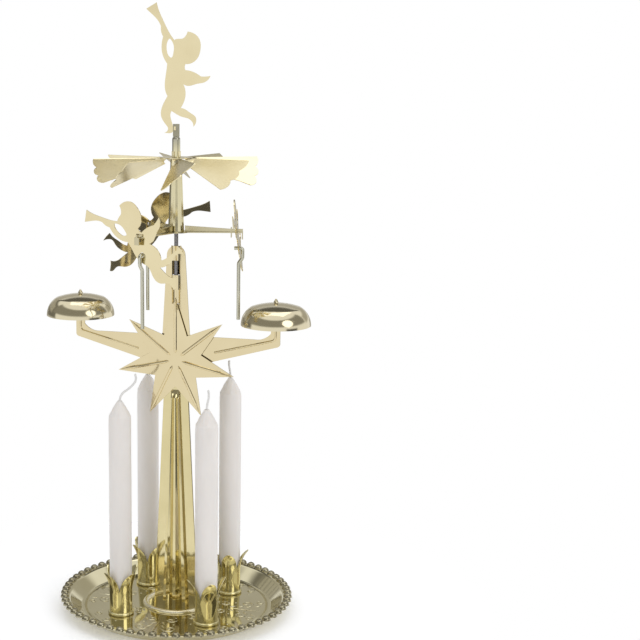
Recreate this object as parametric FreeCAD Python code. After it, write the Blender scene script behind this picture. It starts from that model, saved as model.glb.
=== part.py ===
import FreeCAD, Part
import math
import os

# Angel chime carousel: four candles stand on a round tray, and the warm air above them turns a
# fan on a needle. Three flying angels ride round under the fan, and the rods that hang from
# them tap two bells on the arms of the stand. A fourth angel stands on top.
#
# Millimetres, +Z up. The origin is at the bottom of the tray, on the axis of the needle. The
# star on the stand faces -Y, and the arms of the stand lie along X.
# A name that ends in share or shares holds shares of the named sizes that it is used with.

Vector = FreeCAD.Vector
UP = Vector(0, 0, 1)
ALONG_X = Vector(1, 0, 0)
TOWARDS_FRONT = Vector(0, -1, 0)
CENTRE = Vector(0, 0, 0)

# Clearances, and the overrun that every cut shares
fit_gap = 0.05
seat_gap = 0.1
free_gap = 0.3
cut_overrun = 1.0

# Tray
tray_sheet = 0.5
tray_floor_height = 1.5
tray_cup_gap = 7.75
tray_foot_width = 2.5
tray_wall_width = 6.5
tray_rim_width = 4.5
tray_rim_height = 6.8
bead_radius = 2.2
bead_count = 64
ring_pillar_gap = 2.3
ring_width = 3.2
ring_height = 1.5
rim_lip_share = 0.25

# Candle cups, and the rivets that hold them to the tray
cup_count = 4
cup_ring_gap = 7.85
cup_first_angle = 45.0
cup_turn_angles = (12.0, 57.0, -33.0, 32.0)
cup_radius = 5.7
cup_sheet = 0.4
cup_foot_radius = 6.45
cup_foot_height = 1.6
cup_tube_height = 11.5
petal_height = 11.6
petal_flare = 4.2
petal_notch_height = 1.0
notch_waist_shares = (0.24, 0.52)
petal_tip_share = 0.93
rivet_radius = 1.5
rivet_head_radius = 2.4
rivet_head_height = 0.4

# Candles and wicks
candle_radius = 5.6
candle_foot_radius = 5.0
candle_1_length = 113.0
candle_2_length = 112.0
candle_3_length = 108.0
candle_4_length = 106.8
candle_tip_height = 7.6
candle_tip_radius = 1.1
candle_straight_height = 2.0
candle_taper_height = 4.5
candle_foot_chamfer = 0.6
candle_round_shares = (0.67, 0.48)
wick_radius = 0.6
wick_depth = 4.0
wick_1_length = 9.0
wick_2_length = 9.5
wick_3_length = 16.5
wick_4_length = 9.5
wick_lean_angles = (190.0, 120.0, 20.0, 60.0)
wick_bends = (
    ((0.5, 12.0), (0.5, -16.0)),
    ((0.5, 14.0), (0.5, -24.0)),
    ((0.36, 58.0), (0.34, -18.0), (0.3, -66.0)),
    ((0.45, 22.0), (0.55, -42.0)),
)

# Pillar: two pressed halves, back to back
pillar_sheet = 0.5
pillar_height = 118.0
pillar_foot_half_width = 11.5
pillar_top_half_width = 5.9
rib_top_drop = 9.0
rib_end_drop = 5.0
rib_foot_half_width = 6.8
rib_top_half_width = 2.45
rib_foot_depth = 4.6
rib_top_depth = 2.4
rib_wall = 0.6
rib_section_shares = ((1.0, 0.0), (0.88, 0.80), (0.64, 0.94), (0.40, 0.64), (0.12, 0.92))
pillar_tab_width = 4.0
pillar_tab_length = 3.0
pillar_tab_place_share = 0.74

# Stand: one sheet with the neck, both arms and the posts of the bells
stand_sheet_thickness = 0.6
tongue_half_width = 3.6
tongue_depth = 14.0
stand_waist_half_width = 9.0
stand_waist_rise = 7.0
neck_foot_half_width = 7.0
neck_top_half_width = 4.7
neck_crown_height = 4.5
arm_top_rise = 22.5
arm_rise_start = 40.0
arm_rise = 3.4
arm_root_depth = 12.0
arm_under_start = 20.0
arm_tip_depth = 2.9
arm_bend_share = 0.25
arm_tip_corner = 1.6
neck_fillet = 1.2
post_width = 4.6
post_tongue_width = 1.0
post_tongue_rise = 0.95
arm_rib_radius = 0.55
arm_rib_start = 20.0
arm_rib_start_drop = 7.6
arm_rib_bend_rise = 0.1
arm_rib_top_rise = 6.9
strap_half_width = 2.6
strap_rise = 1.75
strap_sheet = 0.55
strap_root_share = 0.33
strap_count = 4
strap_height = 7.225
slot_foot_rise = 27.9

# Star
star_points = 7
star_rise = 10.3
star_radius = 30.6
star_notch_radius = 13.5
star_sheet = 0.5
star_rib_start = 3.5
star_rib_half_width = 0.75
star_rib_rise = 0.6
star_rib_taper_share = 0.78
star_rib_tip_share = 0.965
star_rib_end_shares = (0.3, 0.12)
star_rib_section_shares = ((-1.0, -0.4), (-1.0, 0.0), (-0.6, 0.8), (0.0, 1.0), (0.6, 0.8), (1.0, 0.0),
                           (1.0, -0.4))
star_tab_width = 2.0
star_tab_length = 2.5
star_tab_place = 4.2

# Needle, and the cup in the rotor that turns on its tip
needle_radius = 1.0
needle_tip_drop = 2.6
needle_cone_length = 3.0
needle_tip_radius = 0.12
pivot_cup_height = 2.4
pivot_recess_radius = 0.95

# Bells and their knobs
bell_radius = 17.0
bell_rod_gap = 2.7
bell_rim_rise = 7.7
bell_height = 10.7
bell_sheet = 0.6
bell_side_shares = (0.935, 0.44)
bell_shoulder_shares = (0.724, 0.804)
bell_inner_side_shares = (1.0, 0.5)
bell_inner_shoulder_shares = (0.6, 0.8)
bell_hole_radius = 0.9
bell_seat_gap = 0.4
knob_radius = 1.25
knob_height = 2.1
knob_shares = ((1.0, 0.0), (0.85, 0.3), (0.3, 0.85))

# Rotor tube
rotor_foot_rise = 7.15
rotor_skirt_height = 35.55
rotor_neck_height = 10.2
rotor_foot_radius = 4.0
rotor_shoulder_radius = 2.75
rotor_neck_radius = 1.95
rotor_wall = 0.45
flute_count = 9
flute_depth_share = 0.12
rotor_dome_height = 1.2
dome_round_shares = (0.75, 0.66)

# Fan
fan_sheet = 0.4
fan_hub_radius = 8.0
fan_radius = 40.5
blade_count = 8
blade_first_angle = 29.5
blade_angle = 30.0
blade_tilt = 41.0
blade_root_radius = 10.5
blade_neck_start = 6.6
blade_neck_overlap = 0.6
blade_neck_share = 0.95
scallop_count = 3
scallop_depth = 1.9
fan_tab_count = 4
fan_tab_first_angle = 62.0
fan_tab_width = 1.5
fan_tab_height = 2.9

# Spider: three arms that carry the flying angels
spider_sheet = 0.5
spider_hub_radius = 6.2
spider_bore_radius = 1.6
arm_count = 3
arm_first_angle = 12.0
arm_root_width = 5.0
arm_end_width = 2.8
arm_ear_gap = 2.6
arm_ridge_width = 0.9
arm_ridge_root_height = 2.8
arm_ridge_end_height = 1.4
arm_ear_width = 3.0
arm_ear_reach = 2.2
arm_hook_reach = 3.1
arm_hook_gap = 2.3
arm_tab_width = 2.6

# Angels: one figure, cut from thin sheet. The outline runs clockwise from the mouth of the
# trumpet, each stretch a smooth curve from corner to corner. The figure's own frame has its
# feet at height 0, and the shares are of its height.
figure_height = 62.0
figure_sheet = 0.5
upper_front_shares = (
    ((-0.230, 0.949), (-0.149, 0.998)),
    ((-0.149, 0.998), (-0.130, 0.930), (-0.099, 0.861), (-0.064, 0.789), (-0.014, 0.713)),
    ((-0.014, 0.713), (0.013, 0.722), (0.048, 0.724), (0.073, 0.745), (0.087, 0.777)),
    ((0.087, 0.777), (0.129, 0.766), (0.168, 0.736), (0.187, 0.694), (0.187, 0.640),
     (0.172, 0.587), (0.145, 0.553), (0.110, 0.534), (0.071, 0.530)),
    ((0.071, 0.530), (0.066, 0.507), (0.071, 0.484)),
    ((0.071, 0.484), (0.110, 0.478), (0.152, 0.461), (0.191, 0.436)),
    ((0.191, 0.436), (0.226, 0.435), (0.265, 0.440)),
    ((0.265, 0.440), (0.249, 0.412), (0.214, 0.389), (0.160, 0.379), (0.106, 0.364),
     (0.056, 0.375)),
)
upper_back_shares = (
    ((-0.070, 0.534), (-0.095, 0.575), (-0.111, 0.629), (-0.111, 0.694), (-0.101, 0.739)),
    ((-0.101, 0.739), (-0.116, 0.777), (-0.118, 0.816)),
    ((-0.118, 0.816), (-0.138, 0.857), (-0.184, 0.907), (-0.230, 0.949)),
)
standing_legs_shares = (
    ((0.056, 0.375), (0.070, 0.335), (0.071, 0.282), (0.056, 0.232), (0.036, 0.194)),
    ((0.036, 0.194), (0.067, 0.185), (0.110, 0.156), (0.151, 0.123), (0.155, 0.091),
     (0.133, 0.050)),
    ((0.133, 0.050), (0.121, 0.091), (0.094, 0.112), (0.044, 0.126), (-0.002, 0.149),
     (-0.037, 0.171)),
    ((-0.037, 0.171), (-0.045, 0.130), (-0.029, 0.069), (-0.026, 0.027)),
    ((-0.026, 0.027), (-0.033, 0.005), (-0.064, 0.000), (-0.095, 0.002)),
    ((-0.095, 0.002), (-0.064, 0.030), (-0.068, 0.050)),
    ((-0.068, 0.050), (-0.099, 0.091), (-0.118, 0.133), (-0.116, 0.183), (-0.099, 0.229),
     (-0.068, 0.286)),
    ((-0.068, 0.286), (-0.085, 0.328), (-0.087, 0.404), (-0.076, 0.480), (-0.070, 0.534)),
)
flying_legs_shares = (
    ((0.056, 0.375), (0.070, 0.330), (0.070, 0.275), (0.055, 0.235), (0.036, 0.212)),
    ((0.036, 0.212), (0.062, 0.194), (0.125, 0.174), (0.189, 0.156), (0.221, 0.157)),
    ((0.221, 0.157), (0.218, 0.118), (0.208, 0.078)),
    ((0.208, 0.078), (0.190, 0.116), (0.166, 0.136), (0.106, 0.136), (0.048, 0.146),
     (-0.014, 0.184)),
    ((-0.014, 0.184), (-0.012, 0.120), (-0.003, 0.066), (0.034, 0.026)),
    ((0.034, 0.026), (0.002, 0.004), (-0.032, -0.029)),
    ((-0.032, -0.029), (-0.047, -0.012), (-0.044, 0.032), (-0.088, 0.086), (-0.112, 0.133),
     (-0.108, 0.184), (-0.085, 0.248), (-0.086, 0.290)),
    ((-0.086, 0.290), (-0.100, 0.340), (-0.100, 0.405), (-0.080, 0.480), (-0.070, 0.534)),
)
arm_gap_shares = (
    (-0.056, 0.720), (-0.072, 0.686), (-0.072, 0.633), (-0.056, 0.591),
    (-0.039, 0.579), (-0.023, 0.610), (-0.018, 0.655), (-0.029, 0.697),
)
slot_place_shares = (0.029, 0.471)
hook_hole_place_shares = (-0.053, 0.370)
foot_tab_shares = ((-0.040, 0.008), (0.022, 0.052))

# Flying angels and the rods that hang from them
flying_turn = 52.0
flying_lean = 4.5
flying_radius = 29.8
slot_width = 4.0
slot_height = 3.8
rod_radius = 0.9
rod_foot_rise = 0.3
hook_offset = 1.9
hook_tail = 2.2
hook_drop = 4.9
hook_return = 2.4
hook_bend_radius = 1.3

# Top angel and its clip
clip_floor_gap = 1.3
top_angel_turn = 17.0
clip_width = 3.2
clip_sheet = 0.45
clip_height = 6.2
clip_window_width = 0.9
clip_window_height = 2.6
clip_pin_radius = 0.55

# Places that follow from the sizes, from the foot of the stand up
tray_under_height = tray_floor_height - tray_sheet
ring_radius = pillar_foot_half_width + ring_pillar_gap + ring_width / 2
cup_circle_radius = ring_radius + ring_width / 2 + cup_ring_gap + cup_foot_radius
tray_foot_inner_radius = cup_circle_radius + cup_foot_radius + tray_cup_gap
tray_foot_outer_radius = tray_foot_inner_radius + tray_foot_width
tray_slope_radius = tray_foot_outer_radius + tray_wall_width
tray_radius = tray_slope_radius + tray_rim_width
bead_circle_radius = tray_radius - bead_radius
cup_floor_height = tray_floor_height + cup_sheet
cup_mouth_height = tray_floor_height + cup_tube_height
petal_tip_height = cup_mouth_height + petal_height
candle_foot_height = cup_floor_height + rivet_head_height + free_gap
candle_lengths = (candle_1_length, candle_2_length, candle_3_length, candle_4_length)
wick_lengths = (wick_1_length, wick_2_length, wick_3_length, wick_4_length)
pillar_splay = stand_sheet_thickness / 2 + seat_gap
rib_top_height = pillar_height - rib_top_drop
rib_end_height = pillar_height - rib_end_drop
tongue_foot_height = pillar_height - tongue_depth
stand_waist_height = pillar_height + stand_waist_rise
star_height = pillar_height + star_rise
arm_top_height = pillar_height + arm_top_rise
arm_under_height = arm_top_height - arm_root_depth
arm_tip_under_height = arm_top_height - arm_tip_depth
bell_offset = flying_radius + rod_radius + bell_rod_gap + bell_radius
bell_rim_height = arm_top_height + bell_rim_rise
bell_top_height = bell_rim_height + bell_height
post_tongue_height = bell_top_height + post_tongue_rise
slot_foot_height = star_height + slot_foot_rise
needle_foot_height = slot_foot_height + strap_height
neck_top_height = slot_foot_height + strap_count * strap_height
neck_shoulder_height = neck_top_height - neck_crown_height
rotor_foot_height = neck_top_height + rotor_foot_rise
fan_height = rotor_foot_height + rotor_skirt_height
rotor_top_height = fan_height + rotor_neck_height
needle_tip_height = rotor_top_height - needle_tip_drop
rod_foot_height = bell_rim_height + rod_foot_rise
top_angel_foot_height = rotor_top_height + fit_gap + clip_sheet + clip_floor_gap
clip_top_height = rotor_top_height + clip_height
star_back_place = needle_radius + seat_gap
bell_inner_height = bell_top_height - bell_sheet
post_top_height = bell_inner_height - bell_seat_gap
spider_top_height = rotor_foot_height - fit_gap
spider_foot_height = spider_top_height - spider_sheet
flying_pivot_height = spider_top_height + arm_ridge_end_height + seat_gap
arm_end_radius = flying_radius - arm_ear_gap
arm_tab_radius = flying_radius + arm_hook_gap
rotor_bore_radius = rotor_neck_radius - rotor_wall
pivot_cup_foot_height = needle_tip_height + seat_gap - pivot_cup_height / 2
clip_gap = figure_sheet / 2 + fit_gap


# Helpers

def polygon(points):
    """A flat face through points, closed back to the first."""
    return Part.Face(Part.makePolygon([*points, points[0]]))


def face_of(edges):
    return Part.Face(Part.Wire(edges))


def line(a, b):
    return Part.LineSegment(a, b).toShape()


def arc(a, b, c):
    return Part.Arc(a, b, c).toShape()


def curve(points):
    """A smooth open curve through points, or a straight line where there are two."""
    if len(points) == 2:
        return line(*points)
    spline = Part.BSplineCurve()
    spline.interpolate(points)
    return spline.toShape()


def spun(face):
    return face.revolve(CENTRE, UP, 360)


def box(low, high):
    size = high - low
    return Part.makeBox(size.x, size.y, size.z, low)


def cylinder(radius, foot, top, centre=CENTRE):
    return Part.makeCylinder(radius, top - foot, Vector(centre.x, centre.y, foot))


def turned(shape, angle, axis=UP, centre=CENTRE):
    """A copy of shape, turned about an axis by an angle in degrees."""
    copy = shape.copy()
    copy.rotate(centre, axis, angle)
    return copy


def moved(shape, step):
    copy = shape.copy()
    copy.translate(step)
    return copy


def polar(radius, angle, height=0):
    angle = math.radians(angle)
    return Vector(radius * math.cos(angle), radius * math.sin(angle), height)


def ring_angles(count, first=0.0):
    return [first + 360.0 * k / count for k in range(count)]


def ruled(sections):
    """A solid with flat or ruled sides through closed outlines that have equal corners."""
    wires = [Part.makePolygon([*points, points[0]]) for points in sections]
    return Part.makeLoft(wires, True, True)


def pipe(path, radius):
    """A round bar along a path of points, with each corner rounded to a radius.

    path holds a point and the bend radius there; the two ends have no bend.
    """
    edges = []
    start = path[0][0]
    for (before, _), (corner, bend), (after, _) in zip(path, path[1:], path[2:]):
        inward = (before - corner).normalize()
        outward = (after - corner).normalize()
        half = inward.getAngle(outward) / 2
        reach = bend / math.tan(half)
        middle = (inward + outward).normalize()
        first = corner + inward * reach
        last = corner + outward * reach
        deep = corner + middle * (bend / math.sin(half) - bend)
        edges += [line(start, first), arc(first, deep, last)]
        start = last
    edges.append(line(start, path[-1][0]))
    wire = Part.Wire(edges)
    heading = path[1][0] - path[0][0]
    section = Part.Wire(Part.makeCircle(radius, path[0][0], heading))
    return wire.makePipeShell([section], True, False)


def save(name, shape):
    if len(shape.Solids) == 1:
        shape = shape.Solids[0]
    for solid in shape.Solids:
        if not solid.isValid() or not solid.isClosed():
            raise ValueError(name + " is not a sound solid")
    shape.exportStep("parts/" + name + ".step")


# Tray

def tray_profile():
    """The cut through half the tray: one sheet, pressed into ring, foot, slope and rim."""
    def at(radius, height):
        return Vector(radius, 0, height)

    inner = ring_radius - ring_width / 2
    outer = ring_radius + ring_width / 2
    slope = [
        at(tray_foot_inner_radius, tray_floor_height),
        at(tray_foot_inner_radius + tray_floor_height - tray_sheet, tray_sheet),
        at(tray_foot_outer_radius, tray_sheet),
        at(tray_slope_radius, tray_rim_height),
        at(bead_circle_radius + bead_radius * rim_lip_share, tray_rim_height),
    ]

    def skin(inset, drop):
        """The upper face, or the under face one sheet lower, with its two end points."""
        foot = tray_floor_height - drop
        middle = at(0, foot)
        hub = at(inner + inset, foot)
        crown = at(ring_radius, foot + ring_height)
        floor = at(outer - inset, foot)
        sloping = [place - at(0, drop) for place in slope]
        flats = [line(a, b) for a, b in zip([floor, *sloping], sloping)]
        return [line(middle, hub), arc(hub, crown, floor), *flats], middle, sloping[-1]

    top, top_middle, top_lip = skin(0, 0)
    under, under_middle, under_lip = skin(tray_sheet, tray_sheet)
    ends = [line(top_middle, under_middle), line(top_lip, under_lip)]
    return Part.Face(Part.Wire(Part.__sortEdges__(top + under + ends)))


def make_tray():
    under = tray_rim_height - tray_sheet
    body = spun(tray_profile())
    domes = []
    hollows = []
    for angle in ring_angles(bead_count):
        place = polar(bead_circle_radius, angle, under)
        domes.append(Part.makeSphere(bead_radius, place, UP, 0, 90, 360))
        hollows.append(Part.makeSphere(bead_radius - tray_sheet, place))
    holes = []
    for angle in ring_angles(cup_count, cup_first_angle):
        place = polar(cup_circle_radius, angle)
        holes.append(cylinder(rivet_radius + fit_gap, 0, tray_floor_height + cut_overrun, place))
    for side in (-1, 1):
        place = side * pillar_foot_half_width * pillar_tab_place_share
        half = pillar_tab_width / 2 + fit_gap
        depth = pillar_sheet + 2 * fit_gap
        holes.append(box(Vector(place - half, -depth, 0),
                         Vector(place + half, depth, tray_floor_height + cut_overrun)))
    return body.fuse(domes).cut(hollows).cut(holes)


# Candle cups

def cup_wall():
    """A tube on a beaded foot, whose mouth flares into one round skirt of petals."""
    bore = cup_radius - cup_sheet
    bend = (petal_flare ** 2 + petal_height ** 2) / (2 * petal_flare)
    half = math.asin(petal_height / bend) / 2

    def flare(radius, angle):
        return Vector(bore + bend - radius * math.cos(angle), 0,
                      cup_mouth_height + radius * math.sin(angle))

    skin = bend - cup_sheet
    foot_top = tray_floor_height + cup_foot_height
    bulge = Vector(cup_foot_radius, 0, tray_floor_height + cup_foot_height / 2)
    return spun(face_of([
        line(Vector(0, 0, tray_floor_height), Vector(cup_radius, 0, tray_floor_height)),
        arc(Vector(cup_radius, 0, tray_floor_height), bulge, Vector(cup_radius, 0, foot_top)),
        line(Vector(cup_radius, 0, foot_top), flare(skin, 0)),
        arc(flare(skin, 0), flare(skin, half), flare(skin, 2 * half)),
        line(flare(skin, 2 * half), flare(bend, 2 * half)),
        arc(flare(bend, 2 * half), flare(bend, half), flare(bend, 0)),
        line(flare(bend, 0), Vector(bore, 0, cup_floor_height)),
        line(Vector(bore, 0, cup_floor_height), Vector(0, 0, cup_floor_height)),
        line(Vector(0, 0, cup_floor_height), Vector(0, 0, tray_floor_height)),
    ]))


def petal_notch():
    """The pointed gap between two petals, cut outwards along +X."""
    mouth = (cup_radius + petal_flare) * math.sqrt(0.5) * petal_tip_share
    foot = cup_mouth_height + petal_notch_height
    rise = petal_tip_height - foot
    waist, waist_height = notch_waist_shares
    above = petal_tip_height + cut_overrun

    def at(side, height):
        return Vector(0, side, height)

    right = arc(at(0, foot), at(mouth * waist, foot + rise * waist_height),
                at(mouth, petal_tip_height))
    left = arc(at(-mouth, petal_tip_height), at(-mouth * waist, foot + rise * waist_height),
               at(0, foot))
    gap = face_of([
        right,
        line(at(mouth, petal_tip_height), at(mouth, above)),
        line(at(mouth, above), at(-mouth, above)),
        line(at(-mouth, above), at(-mouth, petal_tip_height)),
        left,
    ])
    return gap.extrude(Vector(2 * (cup_radius + petal_flare), 0, 0))


def make_cups():
    notch = petal_notch()
    notches = [turned(notch, angle) for angle in ring_angles(4, 45.0)]
    bore = cylinder(rivet_radius + fit_gap, tray_floor_height - cut_overrun,
                    cup_floor_height + cut_overrun)
    cup = cup_wall().cut([*notches, bore])
    places = ring_angles(cup_count, cup_first_angle)
    for number, (angle, turn) in enumerate(zip(places, cup_turn_angles), 1):
        save(f"candle_cup_{number}", moved(turned(cup, turn), polar(cup_circle_radius, angle)))


def make_cup_rivets():
    shank = cylinder(rivet_radius, tray_under_height, cup_floor_height)
    head = cylinder(rivet_head_radius, cup_floor_height, cup_floor_height + rivet_head_height)
    tail = cylinder(rivet_head_radius, tray_under_height - rivet_head_height, tray_under_height)
    rivet = shank.fuse([head, tail])
    places = ring_angles(cup_count, cup_first_angle)
    rivets = [moved(rivet, polar(cup_circle_radius, angle)) for angle in places]
    save("cup_rivets", Part.makeCompound(rivets))


# Candles and wicks

def make_candle(length):
    """A candle on the tray's axis, its foot drawn in to fit the cup."""
    foot = candle_foot_height
    tip = foot + length
    shoulder = tip - candle_tip_height
    narrow = cup_mouth_height + candle_straight_height
    wide = narrow + candle_taper_height
    round_share, round_rise_share = candle_round_shares
    rounded = Vector(candle_radius * round_share, 0, shoulder + candle_tip_height * round_rise_share)
    tip_edge = Vector(candle_tip_radius, 0, tip)
    body = spun(face_of([
        line(Vector(0, 0, foot), Vector(candle_foot_radius - candle_foot_chamfer, 0, foot)),
        line(Vector(candle_foot_radius - candle_foot_chamfer, 0, foot),
             Vector(candle_foot_radius, 0, foot + candle_foot_chamfer)),
        line(Vector(candle_foot_radius, 0, foot + candle_foot_chamfer),
             Vector(candle_foot_radius, 0, narrow)),
        line(Vector(candle_foot_radius, 0, narrow), Vector(candle_radius, 0, wide)),
        line(Vector(candle_radius, 0, wide), Vector(candle_radius, 0, shoulder)),
        arc(Vector(candle_radius, 0, shoulder), rounded, tip_edge),
        line(tip_edge, Vector(0, 0, tip)),
        line(Vector(0, 0, tip), Vector(0, 0, foot)),
    ]))
    return body.cut(cylinder(wick_radius + fit_gap, tip - wick_depth, tip + cut_overrun))


def make_wick(tip, length, lean, bends):
    """A wick that stands in the tip and bends in one upright plane, arc after arc."""
    edges = []
    place = Vector(0, 0, tip)
    heading = 0.0
    edges.append(line(Vector(0, 0, tip - wick_depth + fit_gap), place))
    for stretch_share, bend in bends:
        turn = math.radians(bend)
        radius = length * stretch_share / turn
        points = []
        for angle in (turn / 2, turn):
            points.append(place + Vector(
                radius * (math.cos(heading) - math.cos(heading + angle)), 0,
                radius * (math.sin(heading + angle) - math.sin(heading))))
        edges.append(arc(place, *points))
        place = points[-1]
        heading += turn
    foot = Vector(0, 0, tip - wick_depth + fit_gap)
    section = Part.Wire(Part.makeCircle(wick_radius, foot, UP))
    wick = Part.Wire(edges).makePipeShell([section], True, False)
    return turned(wick, lean)


def make_candles():
    places = ring_angles(cup_count, cup_first_angle)
    rows = zip(places, candle_lengths, wick_lengths, wick_lean_angles, wick_bends)
    for number, (angle, length, wick_length, lean, bends) in enumerate(rows, 1):
        step = polar(cup_circle_radius, angle)
        save(f"candle_{number}", moved(make_candle(length), step))
        wick = make_wick(candle_foot_height + length, wick_length, lean, bends)
        save(f"wick_{number}", moved(wick, step))


# Pillar

def rib_outline(flange, rib, depth, gap, height):
    """The outside of one half, with its back on the plane between the halves."""
    back = -gap
    face = back - pillar_sheet
    side = [(share * rib, min(face, back - deep * depth)) for share, deep in rib_section_shares]
    right = [(flange, back), (flange, face), *side]
    left = [(-x, y) for x, y in reversed(right)]
    return [Vector(x, y, height) for x, y in right + left]


def hollow_outline(rib, depth, gap, height):
    """The hollow inside the rib, one sheet in from its outside."""
    back = fit_gap
    inner = rib - rib_wall
    side = [(share * inner, -gap - deep * depth + pillar_sheet)
            for share, deep in rib_section_shares[1:]]
    right = [(inner, back), *side]
    left = [(-x, y) for x, y in reversed(right)]
    return [Vector(x, y, height) for x, y in right + left]


def make_pillar_half():
    rise = pillar_height - tray_floor_height

    def between(foot, top, height):
        return foot + (top - foot) * (height - tray_floor_height) / rise

    def flange(height):
        return between(pillar_foot_half_width, pillar_top_half_width, height)

    def gap(height):
        return between(fit_gap / 2, pillar_splay, height)

    def rib_share(height):
        return (height - tray_floor_height) / (rib_top_height - tray_floor_height)

    def rib(height):
        return rib_foot_half_width + (rib_top_half_width - rib_foot_half_width) * rib_share(height)

    def depth(height):
        return rib_foot_depth + (rib_top_depth - rib_foot_depth) * rib_share(height)

    foot = tray_floor_height
    sections = [rib_outline(flange(h), rib(h), depth(h), gap(h), h) for h in (foot, rib_top_height)]
    for height in (rib_end_height, pillar_height):
        sections.append(rib_outline(flange(height), rib_top_half_width, 0, gap(height), height))
    below = foot - cut_overrun
    hollow = ruled([hollow_outline(rib(h), depth(h), gap(h), h) for h in (below, rib_top_height)])
    shell = ruled(sections).cut(hollow)
    tabs = []
    for side in (-1, 1):
        place = side * pillar_foot_half_width * pillar_tab_place_share
        half = pillar_tab_width / 2
        under = tray_under_height - fit_gap
        low = under - pillar_sheet
        back = -fit_gap / 2
        tabs.append(box(Vector(place - half, back - pillar_sheet, low),
                        Vector(place + half, back, foot + pillar_sheet)))
        tabs.append(box(Vector(place - half, back - pillar_tab_length, low),
                        Vector(place + half, back, under)))
    return shell.fuse(tabs)


def make_pillar():
    half = make_pillar_half()
    save("pillar_front", half)
    save("pillar_back", turned(half, 180))


# Stand

def stand_outline():
    """The right half of the sheet's outline, from the neck's top down to the tongue's foot."""
    inner = bell_offset - post_width / 2
    outer = bell_offset + post_width / 2
    tongue = post_tongue_width / 2
    round_share = math.sqrt(0.5)
    lower = arm_tip_under_height
    slope = (arm_tip_under_height - arm_under_height) / (outer - arm_under_start)
    neck = neck_foot_half_width
    neck_rise = neck_top_height - neck_shoulder_height

    def at(x, z):
        return Vector(x, 0, z)

    corner_low = at(outer - arm_tip_corner, lower - slope * arm_tip_corner)
    corner_high = at(outer, lower + arm_tip_corner)
    corner_mid = at(outer - arm_tip_corner * (1 - round_share),
                    lower + arm_tip_corner * (1 - round_share) * slope)
    fillet_top = at(neck, arm_top_height + neck_fillet)
    fillet_end = at(neck + neck_fillet, arm_top_height)
    fillet_mid = at(neck + neck_fillet * (1 - round_share),
                    arm_top_height + neck_fillet * (1 - round_share))
    shoulder = at(neck_top_half_width, neck_shoulder_height)
    crown = at(0, neck_top_height)
    crown_mid = at(neck_top_half_width * round_share,
                   neck_shoulder_height + neck_rise * round_share)
    bend_start = at(arm_rise_start, arm_top_height)
    bend_mid = at((arm_rise_start + inner) / 2 + arm_rise * arm_bend_share,
                  arm_top_height + arm_rise * arm_bend_share)
    bend_end = at(inner, arm_top_height + arm_rise)
    path = [
        arc(crown, crown_mid, shoulder),
        line(shoulder, fillet_top),
        arc(fillet_top, fillet_mid, fillet_end),
        line(fillet_end, bend_start),
        arc(bend_start, bend_mid, bend_end),
    ]
    corners = [
        bend_end,
        at(inner, post_top_height),
        at(bell_offset - tongue, post_top_height),
        at(bell_offset - tongue, post_tongue_height),
        at(bell_offset + tongue, post_tongue_height),
        at(bell_offset + tongue, post_top_height),
        at(outer, post_top_height),
        corner_high,
    ]
    path += [line(a, b) for a, b in zip(corners, corners[1:])]
    path.append(arc(corner_high, corner_mid, corner_low))
    corners = [
        corner_low,
        at(arm_under_start, arm_under_height),
        at(stand_waist_half_width, stand_waist_height),
        at(tongue_half_width, pillar_height),
        at(tongue_half_width, tongue_foot_height),
        at(0, tongue_foot_height),
    ]
    path += [line(a, b) for a, b in zip(corners, corners[1:])]
    return path


def arm_rib():
    """The pressed rib along one arm and up its post, sunk in the front of the sheet."""
    front = -stand_sheet_thickness / 2
    start = Vector(arm_rib_start, front, arm_top_height - arm_rib_start_drop)
    bend = Vector(bell_offset, front, arm_top_height + arm_rib_bend_rise)
    end = Vector(bell_offset, front, arm_top_height + arm_rib_top_rise)
    ends = [Part.makeSphere(arm_rib_radius, place) for place in (start, end)]
    radius = post_width / 2
    return pipe([(start, 0), (bend, radius), (end, 0)], arm_rib_radius).fuse(ends)


def strap(side, foot, top):
    """One half-round strap that is pressed out of the neck to hold the needle."""
    root = stand_sheet_thickness * strap_root_share
    inner_half = strap_half_width - strap_sheet
    inner_rise = strap_rise - strap_sheet

    def at(x, rise):
        return Vector(x, side * rise, foot)

    section = face_of([
        arc(at(-strap_half_width, -root), at(0, strap_rise), at(strap_half_width, -root)),
        line(at(strap_half_width, -root), at(inner_half, -root)),
        arc(at(inner_half, -root), at(0, inner_rise), at(-inner_half, -root)),
        line(at(-inner_half, -root), at(-strap_half_width, -root)),
    ])
    return section.extrude(Vector(0, 0, top - foot))


def make_stand():
    right = stand_outline()
    left = [edge.mirror(CENTRE, ALONG_X) for edge in right]
    outline = Part.Wire(Part.__sortEdges__(right + left))
    half = stand_sheet_thickness / 2
    sheet = Part.Face(outline).extrude(Vector(0, stand_sheet_thickness, 0))
    sheet.translate(Vector(0, -half, 0))
    slot_half = strap_half_width - strap_sheet + fit_gap
    deep = Vector(0, cut_overrun, 0)
    cuts = [box(Vector(-slot_half, -half, slot_foot_height) - deep,
                Vector(slot_half, half, neck_top_height + cut_overrun) + deep)]
    for side in (-1, 1):
        inner = side * star_tab_place
        reach = side * (star_tab_place + star_sheet)
        low = star_height - star_tab_width / 2 - fit_gap
        high = star_height + star_tab_width / 2 + fit_gap
        left_edge = min(inner, reach) - fit_gap
        right_edge = max(inner, reach) + fit_gap
        cuts.append(box(Vector(left_edge, -half, low) - deep, Vector(right_edge, half, high) + deep))
    sheet = sheet.cut(cuts)
    pieces = []
    for number in range(strap_count):
        foot = slot_foot_height + number * strap_height
        side = 1 if number % 2 == 0 else -1
        pieces.append(strap(side, foot, foot + strap_height))
    rib = arm_rib()
    pieces += [rib, rib.mirror(CENTRE, ALONG_X)]
    save("stand_sheet", sheet.fuse(pieces))


# Star

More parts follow.
